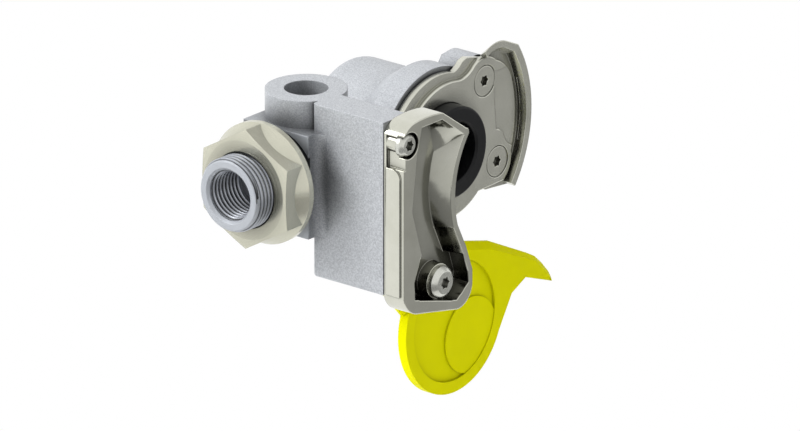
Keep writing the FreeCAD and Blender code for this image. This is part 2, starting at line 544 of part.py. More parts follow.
def guide_lug():
    """Hollow guide lug: waisted tray with a pillar for the pivot screw and a screw boss."""
    lug = new_body("guide_lug")
    left = "(wall_front + 0.2)"
    outline = [(f"{left} + 6.6", "-wall_bottom - 5.4"), (f"{left} + 23.9", "-wall_bottom - 8.9", "6.5"),
               (f"{left} + 30.4", "pivot_z - 3.4"), (f"{left} + 30.4", "pivot_z + 0.5"),
               (f"{left} + 27.6", "pivot_z + 8.2"), (f"{left} + 23.9", "pivot_z + 15.7", "-lug_waist"),
               (f"{left} + 28.8", "wall_top - 9.3", "1.6"), (f"{left} + 27.6", "wall_top - 7.3"),
               (f"{left} + 17.3", "wall_top", "40"), (f"{left} + 4.6", "wall_top + 0.3", "6.5"),
               (left, "wall_top - 3.0"), (left, "-wall_bottom + 0.6", "7.5")]
    shape = new_sketch(lug, "YZ_Plane", WALL_X)
    draw_loop(shape, outline)
    feature(lug, "Pad", shape, "lug_depth")

    rim = [(f"{left} + 5", "-wall_bottom - 0.9"), (f"{left} + 23.5", "-wall_bottom - 6"),
           (f"{left} + 30.4 - lug_rim", "pivot_z - 3"), (f"{left} + 30.2 - lug_rim", "pivot_z + 0.4"),
           (f"{left} + 27.4 - lug_rim", "pivot_z + 7.7"),
           (f"{left} + 23.8 - lug_rim", "pivot_z + 15.3", "-(lug_waist + lug_rim)"),
           (f"{left} + 28.4 - lug_rim", "wall_top - 8.9"),
           (f"{left} + 17.0", "wall_top - lug_rim - 0.3"),
           (f"{left} + 8", "wall_top - lug_rim - 0.3"), (f"{left} + 5.9", "wall_top - 9.7"),
           (f"{left} + 3.8", "wall_top - 26.2"), (f"{left} + 7.9", "pivot_z + 11.3"),
           (f"{left} + 4.7", "pivot_z + 3.5")]
    slope = {3: (2.0, 0.0), 4: (2.6, 0.0), 5: (2.6, 0.0), 6: (7.0, 4.6)}
    floor = []
    for i, p in enumerate(rim):
        along, down = slope.get(i, (0.0, 0.0))
        floor.append((f"{p[0]} - {along}", f"{p[1]} - {down}") + tuple(p[2:]))
    top = new_sketch(lug, "YZ_Plane", RIM_X)
    draw_loop(top, rim)
    low = new_sketch(lug, "YZ_Plane", LUG_FLOOR_X)
    draw_loop(low, floor)
    hollow = lug.newObject("PartDesign::SubtractiveLoft", "guide_lug_hollow")
    hollow.Profile = low
    hollow.Sections = [top]
    hollow.Ruled = True
    doc.recompute()
    lug.Tip = hollow

    well = new_sketch(lug, "YZ_Plane", RIM_X)
    draw_loop(well, [(f"{left} + 7", "-wall_bottom - 1.6"),
                     (f"{left} + 21", "-wall_bottom - 5.5", "6.5"),
                     (f"{left} + 30.2 - lug_rim", "pivot_z - 0.5"),
                     (f"{left} + 28.0 - lug_rim", "pivot_z + 6.3"),
                     (f"{left} + 7", "pivot_z + 8.5"), (f"{left} + 4.7", "pivot_z + 3.5")])
    feature(lug, "Pocket", well, "lug_depth - lug_floor")
    disc(lug, "Pad", "YZ_Plane", "pillar_radius", f"{LUG_FLOOR_X} - 0.5", "pillar_height + 0.5",
         right="pivot_y", up="pivot_z")

    side = new_sketch(lug, "YZ_Plane", f"{WALL_X} + 1")
    draw_loop(side, [(f"{left} - 1", "panel_top"), (f"{left} + 0.8", "panel_top"),
                     (f"{left} + 0.8", "lug_screw_z - 2.2"),
                     ("lug_screw_y + 1", "lug_screw_z - 2.2"),
                     ("lug_screw_y + 1", "lug_screw_z + 2.6"), (f"{left} - 1", "lug_screw_z + 2.6")])
    feature(lug, "Pocket", side, "lug_depth", back=True)
    disc(lug, "Pad", "YZ_Plane", "lug_boss_radius", f"{WALL_X} + 0.5",
         "lug_depth - lug_head - 0.5", right="lug_screw_y + 0.6", up="lug_screw_z")
    disc(lug, "Pocket", "YZ_Plane", "lug_head_radius + lug_head_play", RIM_X, "lug_head",
         right="lug_screw_y", up="lug_screw_z")
    disc(lug, "Pocket", "YZ_Plane", "lug_shank_radius + head_play", RIM_X, "lug_depth",
         right="lug_screw_y", up="lug_screw_z")
    disc(lug, "Pocket", "YZ_Plane", "pivot_shank_radius + head_play", RIM_X, "lug_depth",
         right="pivot_y", up="pivot_z")
    disc(lug, "Pocket", "YZ_Plane", "dowel_radius + head_play", WALL_X,
         "dowel_length / 2 + 0.2", right="lug_screw_y + 1", up="pivot_z + 6", back=True)
    panel = new_sketch(lug, "XZ_Plane", f"-{left}")
    draw_loop(panel, [(f"{WALL_X} + 1", "-wall_bottom + 1"), (f"{RIM_X} - 1.2", "-wall_bottom + 1"),
                      (f"{RIM_X} - 1.2", "panel_top - 3", "3"), (f"{RIM_X} - 4.2", "panel_top"),
                      (f"{WALL_X} + 1", "panel_top")])
    feature(lug, "Pad", panel, "panel_raise")


def round_head_screw(name, length, shank, head, height, star_radius, x, y, z):
    """Button-head screw on its own axis, underside of the head at its origin."""
    screw = new_body(name)
    shape = new_sketch(screw, "XY_Plane")
    draw_loop(shape, [(f"-({length})", "0"), (height, "0"), (height, f"{head} * 0.7", head),
                      (f"{height} * 0.5", head), ("0", head), ("0", shank),
                      (f"-({length})", shank)])
    turn(screw, "Revolution", shape, "H_Axis")
    recess = new_sketch(screw, "YZ_Plane", height)
    star(recess, star_radius)
    feature(screw, "Pocket", recess, "drive_depth")
    place(screw, x, y, z)


def lid_and_pivot():
    """Swinging lid with the screw, bush, washer, wave spring and nut that carry it."""
    round_head_screw("lug_screw", f"{RIM_X} - lug_head - {WALL_X} + lug_screw_length - 1",
                     "lug_shank_radius", "lug_head_radius", "lug_head", "drive_radius",
                     f"{RIM_X} - lug_head", "lug_screw_y", "lug_screw_z")
    round_head_screw("pivot_screw", f"{PILLAR_X} - {NUT_X} + nut_m5_height + 1",
                     "pivot_shank_radius", "pivot_head_radius", "pivot_head", "drive_radius * 1.1",
                     PILLAR_X, "pivot_y", "pivot_z")
    for name, start, length, hole, size in (
            ("pivot_washer", WASHER_X, "washer_thick", "pivot_shank_radius + head_play",
             "washer_radius"),
            ("pivot_bush", BUSH_X, f"{WASHER_X} - {BUSH_X}", "pivot_shank_radius + head_play",
             "bush_radius"),
            ("lid_spring", NUT_X, "wave_thick", "pivot_shank_radius + head_play",
             "wave_radius"),
            ("dowel_pin", f"{WALL_X} - dowel_length / 2", "dowel_length", "", "dowel_radius")):
        ring = new_body(name)
        shape = new_sketch(ring, "YZ_Plane")
        draw_circle(shape, size)
        if hole:
            draw_circle(shape, hole)
        feature(ring, "Pad", shape, length)
        if hole:
            place(ring, start, "pivot_y", "pivot_z")
        else:
            place(ring, start, "lug_screw_y + 1", "pivot_z + 6")

    nut = new_body("pivot_nut")
    shape = new_sketch(nut, "YZ_Plane")
    hexagon(shape, "nut_m5_flats")
    feature(nut, "Pad", shape, "nut_m5_height")
    disc(nut, "Pocket", "YZ_Plane", "pivot_shank_radius + head_play", "nut_m5_height",
         "nut_m5_height")
    place(nut, f"{NUT_X} - nut_m5_height", "pivot_y", "pivot_z")

    lid = new_body("lid")
    cover = new_sketch(lid, "YZ_Plane", "lid_front - lid_skirt")
    draw_loop(cover, [("pivot_y - 3.6", "pivot_z - hub_radius * 0.72"),
                      ("round_y - round_radius * 0.95", "round_z + round_radius * 0.31225",
                       "round_radius"),
                      ("round_y", "round_z - round_radius", "round_radius"),
                      ("round_y + round_radius * 0.92", "round_z - round_radius * 0.39192"),
                      ("pad_y + 18.1", "pad_z + 7.6"), ("pad_y + 24.3", "pad_z + 10.7"),
                      ("pad_y + 35.9", "pad_z + 6.3", "1.6"), ("pad_y + 36.8", "pad_z + 8.7"),
                      ("pad_y + 33.8", "pad_z + 12.1"), ("pad_y + 30.6", "pad_z + 15"),
                      ("pad_y + 27", "pad_z + 17"), ("pad_y + 10.3", "pad_z + 25.2"),
                      ("pad_y - 0.8", "pad_z + 28.2"),
                      ("pivot_y + 1.5", "pivot_z + hub_radius * 0.955", "hub_radius")])
    feature(lid, "Pad", cover, "lid_skirt")
    dress(lid, "Chamfer", "Size", "lid_bevel",
          lambda e: at(e, "X", "lid_front") and e.BoundBox.ZMin > val("pad_z + 8")
          and e.BoundBox.YMin > val("pad_y - 2"))
    bend = new_sketch(lid, "XY_Plane")
    bend.AttachmentOffset = FreeCAD.Placement(Vector(), FreeCAD.Rotation(Vector(1, 0, 0), 45))
    for axis, text in (("y", "pad_y + 20"), ("z", "pad_z + 14.5")):
        bind(bend, f"AttachmentOffset.Base.{axis}", text)
    draw_loop(bend, [("lid_front", "0"), ("lid_front - tab_drop", "tab_reach"),
                     ("lid_front + 1", "tab_reach"), ("lid_front + 1", "0")])
    feature(lid, "Pocket", bend, "2 * tab_reach", both=True)
    disc(lid, "Pocket", "YZ_Plane", "round_radius - dish_border", "lid_front", "dish_depth",
         right="round_y", up="round_z")
    disc(lid, "Pocket", "YZ_Plane", "round_radius - lid_wall", "lid_front - lid_skirt",
         "lid_skirt - lid_thick", right="round_y", up="round_z", back=True)
    disc(lid, "Pad", "YZ_Plane", "pad_radius", "lid_front - dish_depth", "pad_raise",
         right="pad_y", up="pad_z")
    disc(lid, "Pad", "YZ_Plane", "hub_radius", f"{HUB_X} - hub_length", "hub_length",
         right="pivot_y", up="pivot_z")
    disc(lid, "Pocket", "YZ_Plane", "bush_radius + bush_play", f"{HUB_X} + 1", "hub_length + 1",
         right="pivot_y", up="pivot_z")


def main():
    """Build every piece, check it and write its STEP file."""
    body_casting()
    lock_nut()
    claw_plate()
    countersunk_screw("plate_screw_upper", "upper_y", "upper_z")
    countersunk_screw("plate_screw_lower", "lower_y", "lower_z")
    seal_and_filter()
    guide_lug()
    lid_and_pivot()
    doc.recompute()
    for obj in doc.Objects:
        if "Invalid" in obj.State or "Error" in obj.State:
            raise RuntimeError(f"{obj.Label}: {obj.State}")
    for made in PARTS:
        if not made.Shape.isValid() or len(made.Shape.Solids) != 1:
            raise RuntimeError(f"{made.Label}: bad shape")
    os.makedirs("parts", exist_ok=True)
    for made in PARTS:
        made.Shape.exportStep(f"parts/{made.Label}.step")


main()
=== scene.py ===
"""Looks of the air brake coupling head: finishes, threads, spring, light and camera."""

import logging
import math
from dataclasses import dataclass, field
from enum import Enum

import bpy
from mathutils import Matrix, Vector

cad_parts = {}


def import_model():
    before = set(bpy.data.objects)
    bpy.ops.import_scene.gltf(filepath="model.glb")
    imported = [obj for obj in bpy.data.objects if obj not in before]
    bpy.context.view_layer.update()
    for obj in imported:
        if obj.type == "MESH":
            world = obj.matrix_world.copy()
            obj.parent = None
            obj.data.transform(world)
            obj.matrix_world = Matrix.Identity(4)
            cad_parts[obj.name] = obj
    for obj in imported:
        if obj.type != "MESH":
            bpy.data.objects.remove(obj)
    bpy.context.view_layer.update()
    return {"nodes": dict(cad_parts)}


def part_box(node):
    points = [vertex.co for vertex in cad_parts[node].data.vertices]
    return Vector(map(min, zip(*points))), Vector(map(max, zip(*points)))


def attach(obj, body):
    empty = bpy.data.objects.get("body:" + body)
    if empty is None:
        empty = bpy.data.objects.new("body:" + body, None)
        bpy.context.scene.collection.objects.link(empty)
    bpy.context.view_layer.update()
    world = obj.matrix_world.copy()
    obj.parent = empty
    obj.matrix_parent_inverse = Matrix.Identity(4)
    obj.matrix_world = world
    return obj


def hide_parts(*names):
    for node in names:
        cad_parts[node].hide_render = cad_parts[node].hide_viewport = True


LOG = logging.getLogger("air_brake_coupling")

Colour = tuple[float, float, float]
Point = tuple[float, float, float]
GroupParts = tuple[bpy.types.NodeTree, bpy.types.Node, bpy.types.Node]

# Socket numbers of a Mix node that mixes colours.
MIX_FROM, MIX_TO, MIX_RESULT = 6, 7, 2

# Rays that look for crevices and for edges at each point.
SHADE_SAMPLES, BEVEL_SAMPLES = 48, 12

# The stub's outer thread, in metres: radii, and how far in from the stub's mouth it starts
# and under the nut it ends.
STUB_ROOT, STUB_CREST = 0.01045, 0.011
STUB_LEAD, STUB_RUNOUT = 0.0007, 0.0005

# The port's inner thread, in metres: radii, and where it starts and ends behind the mouth.
PORT_ROOT, PORT_CREST = 0.00755, 0.0069
PORT_LEAD, PORT_DEPTH = 0.0014, 0.0134

# Corners of the section of a ridge or a flat wire.
CORNERS = 4

# The camera: its sensor in millimetres and the depth that it sees in metres.
SENSOR_WIDTH = 36.0
CLIP_START, CLIP_END = 0.1, 100.0

WHITE = (1.0, 1.0, 1.0, 1.0)


class Body(Enum):
    """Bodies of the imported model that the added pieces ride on."""

    HEAD = "head"


class Slot(Enum):
    """Material slots of the record; no piece in this script is given them."""

    CAST = "cast_alloy"
    GAUZE = "gauze_steel"


def linear(red: int, green: int, blue: int) -> Colour:
    """Turn screen values of the photograph's finish into linear colour.

    Args:
        red: Red from 0 to 255.
        green: Green from 0 to 255.
        blue: Blue from 0 to 255.

    Returns:
        The same colour in linear light.
    """
    shares = (part / 255.0 for part in (red, green, blue))
    return tuple(share / 12.92 if share <= 0.04045 else ((share + 0.055) / 1.055) ** 2.4
                 for share in shares)


def opaque(colour: Colour, share: float = 1.0) -> tuple[float, float, float, float]:
    """Turn a colour into a socket's value.

    Args:
        colour: Linear colour.
        share: How much of its light is left.

    Returns:
        Red, green, blue and full opacity.
    """
    red, green, blue = (part * share for part in colour)
    return red, green, blue, 1.0


def set_inputs(node: bpy.types.Node, values: dict[str, object]) -> None:
    """Set inputs of a node by their names.

    Args:
        node: The node.
        values: The value of each input that is set.
    """
    for label, value in values.items():
        node.inputs[label].default_value = value


def colour_mix(nodes: bpy.types.Nodes) -> bpy.types.Node:
    """Add a node that mixes two colours.

    Args:
        nodes: The nodes that it joins.

    Returns:
        The new node.
    """
    made = nodes.new("ShaderNodeMix")
    made.data_type = "RGBA"
    return made


def band(first: int, second: int) -> list[tuple[int, ...]]:
    """Join two neighbouring sections of a ridge or a wire.

    Args:
        first: Number of the first section's first point.
        second: Number of the second section's first point.

    Returns:
        The faces between them, one for each side of the section.
    """
    sides = ((k, (k + 1) % CORNERS) for k in range(CORNERS))
    return [(first + k, first + nxt, second + nxt, second + k) for k, nxt in sides]


def new_piece(name: str, verts: list[Point], faces: list[tuple[int, ...]]
              ) -> bpy.types.Object:
    """Make an object from points and faces and put it in the scene.

    Args:
        name: Name of the object and its mesh.
        verts: Its points in metres.
        faces: Its faces, each a tuple of point numbers.

    Returns:
        The new object.
    """
    mesh = bpy.data.meshes.new(name)
    mesh.from_pydata(verts, [], faces)
    mesh.validate()
    mesh.update()
    made = bpy.data.objects.new(name, mesh)
    bpy.context.scene.collection.objects.link(made)
    return made


@dataclass(frozen=True)
class Picture:
    """The photograph's frame and the view that it was taken from.

    Attributes:
        width: Its width in pixels.
        height: Its height in pixels.
        origin_u: Where the part's origin is across it.
        origin_v: Where the part's origin is down it.
        pixels_per_metre: Its scale.
        azimuth: Direction of the camera in degrees.
        elevation: Height of the camera in degrees.
        distance: Distance of the camera in metres.
        depth_shift: Depth of the object's middle along the line of sight, in metres.
    """

    width: int = 800
    height: int = 431
    origin_u: float = 277.0
    origin_v: float = 177.3
    pixels_per_metre: float = 3500.0
    azimuth: float = 39.8
    elevation: float = 20.0
    distance: float = 5.0
    depth_shift: float = -0.0405

    def axes(self) -> tuple[Vector, Vector, Vector]:
        """Give the directions of the view.

        Returns:
            The picture's right, its up and the way back to the camera.
        """
        a, e = math.radians(self.azimuth), math.radians(self.elevation)
        right = Vector((math.cos(a), math.sin(a), 0.0))
        back = Vector((math.sin(a) * math.cos(e), -math.cos(a) * math.cos(e), math.sin(e)))
        return right, back.cross(right), back

    def centre(self) -> Vector:
        """Find what the picture's middle shows.

        Returns:
            That point in the part's frame.
        """
        right, up, back = self.axes()
        across = (self.width / 2 - self.origin_u) / self.pixels_per_metre
        rise = (self.origin_v - self.height / 2) / self.pixels_per_metre
        return right * across + up * rise + back * self.depth_shift


class Groups:
    """Shader node groups that several finishes use, each built once."""

    def __init__(self) -> None:
        """Build the groups."""
        self.grain = self._grain()
        self.tone = self._tone()
        self.wear = self._wear()
        self.crevice = self._crevice("crevice_shade", local=False)
        self.hollow = self._crevice("hollow_shade", local=True)
        self.edge = self._edge()
        self.root = self._root()
        self.turned = self._turned()

    @staticmethod
    def _new(name: str, inputs: dict[str, float | Colour], output: str, kind: str
             ) -> GroupParts:
        """Make an empty group with named sockets.

        Args:
            name: Name of the group.
            inputs: Default value of each input; a tuple makes a colour.
            output: Name of the output.
            kind: What the output carries: Float, Color or Vector.

        Returns:
            The tree, its input node and its output node.
        """
        tree = bpy.data.node_groups.new(name, "ShaderNodeTree")
        for label, value in inputs.items():
            tinted = isinstance(value, tuple)
            made = tree.interface.new_socket(
                label, in_out="INPUT",
                socket_type="NodeSocketColor" if tinted else "NodeSocketFloat")
            made.default_value = opaque(value) if tinted else value
        tree.interface.new_socket(output, in_out="OUTPUT", socket_type=f"NodeSocket{kind}")
        return tree, tree.nodes.new("NodeGroupInput"), tree.nodes.new("NodeGroupOutput")

    def _grain(self) -> bpy.types.NodeTree:
        """Build the fine grain of a cast or moulded skin, a height from two noises.

        Returns:
            The new group.
        """
        tree, source, result = self._new(
            "surface_grain", {"Scale": 900.0, "Coarse": 160.0, "Share": 0.35},
            "Height", "Float")
        nodes, links = tree.nodes, tree.links
        place = nodes.new("ShaderNodeTexCoord")
        fine = nodes.new("ShaderNodeTexNoise")
        set_inputs(fine, {"Detail": 3.0})
        broad = nodes.new("ShaderNodeTexNoise")
        set_inputs(broad, {"Detail": 2.0})
        mix = nodes.new("ShaderNodeMix")
        links.new(place.outputs["Object"], fine.inputs["Vector"])
        links.new(place.outputs["Object"], broad.inputs["Vector"])
        links.new(source.outputs["Scale"], fine.inputs["Scale"])
        links.new(source.outputs["Coarse"], broad.inputs["Scale"])
        links.new(source.outputs["Share"], mix.inputs["Factor"])
        links.new(fine.outputs["Fac"], mix.inputs["A"])
        links.new(broad.outputs["Fac"], mix.inputs["B"])
        links.new(mix.outputs["Result"], result.inputs["Height"])
        return tree

    def _tone(self) -> bpy.types.NodeTree:
        """Build a slow change between two tones of one colour.

        Returns:
            The new group.
        """
        tree, source, result = self._new(
            "tone_drift", {"Light": (0.6, 0.6, 0.6), "Dark": (0.5, 0.5, 0.5), "Scale": 60.0},
            "Colour", "Color")
        nodes, links = tree.nodes, tree.links
        place = nodes.new("ShaderNodeTexCoord")
        noise = nodes.new("ShaderNodeTexNoise")
        set_inputs(noise, {"Detail": 4.0, "Roughness": 0.6})
        ramp = nodes.new("ShaderNodeMapRange")
        set_inputs(ramp, {"From Min": 0.35, "From Max": 0.65})
        mix = colour_mix(nodes)
        links.new(place.outputs["Object"], noise.inputs["Vector"])
        links.new(source.outputs["Scale"], noise.inputs["Scale"])
        links.new(noise.outputs["Fac"], ramp.inputs["Value"])
        links.new(ramp.outputs["Result"], mix.inputs["Factor"])
        links.new(source.outputs["Dark"], mix.inputs[MIX_FROM])
        links.new(source.outputs["Light"], mix.inputs[MIX_TO])
        links.new(mix.outputs[MIX_RESULT], result.inputs["Colour"])
        return tree

    def _wear(self) -> bpy.types.NodeTree:
        """Build a roughness that changes in faint patches, as handled metal has.

        Returns:
            The new group.
        """
        tree, source, result = self._new(
            "handled_roughness", {"Low": 0.2, "High": 0.3, "Scale": 220.0},
            "Roughness", "Float")
        nodes, links = tree.nodes, tree.links
        place = nodes.new("ShaderNodeTexCoord")
        noise = nodes.new("ShaderNodeTexNoise")
        set_inputs(noise, {"Detail": 5.0})
        spread = nodes.new("ShaderNodeMapRange")
        set_inputs(spread, {"From Min": 0.3, "From Max": 0.7})
        links.new(place.outputs["Object"], noise.inputs["Vector"])
        links.new(source.outputs["Scale"], noise.inputs["Scale"])
        links.new(noise.outputs["Fac"], spread.inputs["Value"])
        links.new(source.outputs["Low"], spread.inputs["To Min"])
        links.new(source.outputs["High"], spread.inputs["To Max"])
        links.new(spread.outputs["Result"], result.inputs["Roughness"])
        return tree

    def _crevice(self, name: str, local: bool) -> bpy.types.NodeTree:
        """Build a colour that darkens where surfaces close in on each other.

        Args:
            name: Name of the group.
            local: True if only the piece's own walls count.

        Returns:
            The new group.
        """
        tree, source, result = self._new(
            name, {"Colour": (0.6, 0.6, 0.6), "Shade": (0.1, 0.1, 0.1), "Reach": 0.004,
                   "Power": 1.4},
            "Colour", "Color")
        nodes, links = tree.nodes, tree.links
        near = nodes.new("ShaderNodeAmbientOcclusion")
        near.samples = SHADE_SAMPLES
        near.only_local = local
        curve = nodes.new("ShaderNodeMath")
        curve.operation = "POWER"
        mix = colour_mix(nodes)
        links.new(source.outputs["Reach"], near.inputs["Distance"])
        links.new(near.outputs["AO"], curve.inputs[0])
        links.new(source.outputs["Power"], curve.inputs[1])
        links.new(curve.outputs[0], mix.inputs["Factor"])
        links.new(source.outputs["Shade"], mix.inputs[MIX_FROM])
        links.new(source.outputs["Colour"], mix.inputs[MIX_TO])
        links.new(mix.outputs[MIX_RESULT], result.inputs["Colour"])
        return tree

    def _edge(self) -> bpy.types.NodeTree:
        """Build a normal that catches the light as a slightly rounded edge does.

        Returns:
            The new group.
        """
        tree, source, result = self._new("soft_edge", {"Radius": 0.0003}, "Normal", "Vector")
        nodes, links = tree.nodes, tree.links
        bevel = nodes.new("ShaderNodeBevel")
        bevel.samples = BEVEL_SAMPLES
        links.new(source.outputs["Radius"], bevel.inputs["Radius"])
        links.new(bevel.outputs["Normal"], result.inputs["Normal"])
        return tree

    def _root(self) -> bpy.types.NodeTree:
        """Build the colour of a thread about Y, with painted shade in its roots that fades to
        the plain colour on its crests.

        Returns:
            The new group.
        """
        # The Shade default is the near-black painted shade of the thread's roots.
        tree, source, result = self._new(
            "thread_root_painted_shade", {"Colour": (0.6, 0.6, 0.6), "Shade": (0.02, 0.02, 0.02),
                            "Root": 0.01, "Crest": 0.011},
            "Colour", "Color")
        nodes, links = tree.nodes, tree.links
        place = nodes.new("ShaderNodeTexCoord")
        flat = nodes.new("ShaderNodeVectorMath")
        flat.operation = "MULTIPLY"
        flat.inputs[1].default_value = (1.0, 0.0, 1.0)
        radius = nodes.new("ShaderNodeVectorMath")
        radius.operation = "LENGTH"
        share = nodes.new("ShaderNodeMapRange")
        mix = colour_mix(nodes)
        links.new(place.outputs["Object"], flat.inputs[0])
        links.new(flat.outputs["Vector"], radius.inputs[0])
        links.new(radius.outputs["Value"], share.inputs["Value"])
        links.new(source.outputs["Root"], share.inputs["From Min"])
        links.new(source.outputs["Crest"], share.inputs["From Max"])
        links.new(share.outputs["Result"], mix.inputs["Factor"])
        links.new(source.outputs["Shade"], mix.inputs[MIX_FROM])
        links.new(source.outputs["Colour"], mix.inputs[MIX_TO])
        links.new(mix.outputs[MIX_RESULT], result.inputs["Colour"])
        return tree

    def _turned(self) -> bpy.types.NodeTree:
        """Build the mask of the casting's turned end: 1 before a place along Y, 0 behind it.

        Returns:
            The new group.
        """
        tree, source, result = self._new("turned_zone", {"Front": 0.0}, "Mask", "Float")
        nodes, links = tree.nodes, tree.links
        place = nodes.new("ShaderNodeTexCoord")
        split = nodes.new("ShaderNodeSeparateXYZ")
        ahead = nodes.new("ShaderNodeMath")
        ahead.operation = "LESS_THAN"
        links.new(place.outputs["Object"], split.inputs[0])
        links.new(split.outputs["Y"], ahead.inputs[0])
        links.new(source.outputs["Front"], ahead.inputs[1])
        links.new(ahead.outputs[0], result.inputs["Mask"])
        return tree


@dataclass(frozen=True)
class Finish:
    """One procedural finish.

    Attributes:
        name: Name of its material.
        light: Lighter of its two tones.
        dark: Darker of its two tones.
        metallic: Share of metal.
        rough: Least and most roughness.
        tone_scale: How closely the two tones change.
        grain_scale: How fine the grain is.
        grain_depth: Height of the grain in metres.
        grain_strength: How much of the grain shows.
        specular: Gloss of what isn't metal.
        shade: Light left in crevices; 1 leaves them out.
        reach: Distance in metres over which walls shade each other.
        power: How sharply that shade sets in.
        local: True if only the piece's own walls shade it.
        edge: Radius in metres of its soft edges; 0 leaves them sharp.
        root: Radii of a thread's roots and crests, across which its painted root shade fades
            out.
        turned: Tone of the casting's turned end.
    """

    name: str
    light: Colour
    dark: Colour
    metallic: float
    rough: tuple[float, float]
    tone_scale: float
    grain_scale: float
    grain_depth: float
    grain_strength: float
    specular: float = 0.5
    shade: float = 1.0
    reach: float = 0.004
    power: float = 1.4
    local: bool = False
    edge: float = 0.0
    root: tuple[float, float] | None = None
    turned: Colour | None = None

    def build(self, groups: Groups) -> bpy.types.Material:
        """Build the material.

        Args:
            groups: The shared node groups.

        Returns:
            The new material.
        """
        material = bpy.data.materials.new(self.name)
        material.use_nodes = True
        material.diffuse_color = opaque(self.light)
        nodes, links = material.node_tree.nodes, material.node_tree.links
        shader = nodes["Principled BSDF"]
        set_inputs(shader, {"Metallic": self.metallic, "Specular IOR Level": self.specular})
        tone = self._group(nodes, groups.tone, {
            "Light": opaque(self.light), "Dark": opaque(self.dark), "Scale": self.tone_scale})
        smooth, dull = self.rough
        wear = self._group(nodes, groups.wear, {"Low": smooth, "High": dull})
        grain = self._group(nodes, groups.grain, {"Scale": self.grain_scale})
        bump = nodes.new("ShaderNodeBump")
        set_inputs(bump, {"Strength": self.grain_strength, "Distance": self.grain_depth})
        colour = self._shaded(nodes, links, groups, tone.outputs["Colour"])
        # Painted shade: the thread's roots are coloured near black, fading to the surface
        # colour on the crests.
        if self.root:
            root, crest = self.root
            thread = self._group(nodes, groups.root, {"Root": root, "Crest": crest})
            links.new(colour, thread.inputs["Colour"])
            colour = thread.outputs["Colour"]
        if self.turned:
            colour = self._machined(nodes, links, groups, colour, bump)
        if self.edge:
            edge = self._group(nodes, groups.edge, {"Radius": self.edge})
            links.new(edge.outputs["Normal"], bump.inputs["Normal"])
        links.new(colour, shader.inputs["Base Color"])
        links.new(wear.outputs["Roughness"], shader.inputs["Roughness"])
        links.new(grain.outputs["Height"], bump.inputs["Height"])
        links.new(bump.outputs["Normal"], shader.inputs["Normal"])
        return material

    def _shaded(self, nodes: bpy.types.Nodes, links: bpy.types.NodeLinks, groups: Groups,
                colour: bpy.types.NodeSocket) -> bpy.types.NodeSocket:
        """Darken a colour in the crevices, where the finish asks for it.

        Args:
            nodes: The material's nodes.
            links: The material's links.
            groups: The shared node groups.
            colour: The open surface's colour.

        Returns:
            The socket that carries the final colour.
        """
        if self.shade >= 1.0:
            return colour
        crevice = self._group(nodes, groups.hollow if self.local else groups.crevice, {
            "Shade": opaque(self.dark, self.shade), "Reach": self.reach, "Power": self.power})
        links.new(colour, crevice.inputs["Colour"])
        return crevice.outputs["Colour"]

    def _machined(self, nodes: bpy.types.Nodes, links: bpy.types.NodeLinks, groups: Groups,
                  colour: bpy.types.NodeSocket, bump: bpy.types.Node) -> bpy.types.NodeSocket:
        """Give the casting's turned end its own tone and take its grain away.

        Args:
            nodes: The material's nodes.
            links: The material's links.
            groups: The shared node groups.
            colour: The cast surface's colour.
            bump: The bump that carries the grain.

        Returns:
            The socket that carries the final colour.
        """
        zone = self._group(nodes, groups.turned, {})
        mix = colour_mix(nodes)
        mix.inputs[MIX_TO].default_value = opaque(self.turned)
        links.new(zone.outputs["Mask"], mix.inputs["Factor"])
        links.new(colour, mix.inputs[MIX_FROM])
        calm = nodes.new("ShaderNodeMapRange")
        set_inputs(calm, {"To Min": self.grain_strength, "To Max": 0.0})
        links.new(zone.outputs["Mask"], calm.inputs["Value"])
        links.new(calm.outputs["Result"], bump.inputs["Strength"])
        return mix.outputs[MIX_RESULT]

    @staticmethod
    def _group(nodes: bpy.types.Nodes, tree: bpy.types.NodeTree, values: dict[str, object]
               ) -> bpy.types.Node:
        """Place one shared group in a material.

        Args:
            nodes: The material's nodes.
            tree: The shared group.
            values: The values of its inputs that differ from the group's own.

        Returns:
            The new node.
        """
        made = nodes.new("ShaderNodeGroup")
        made.node_tree = tree
        set_inputs(made, values)
        return made


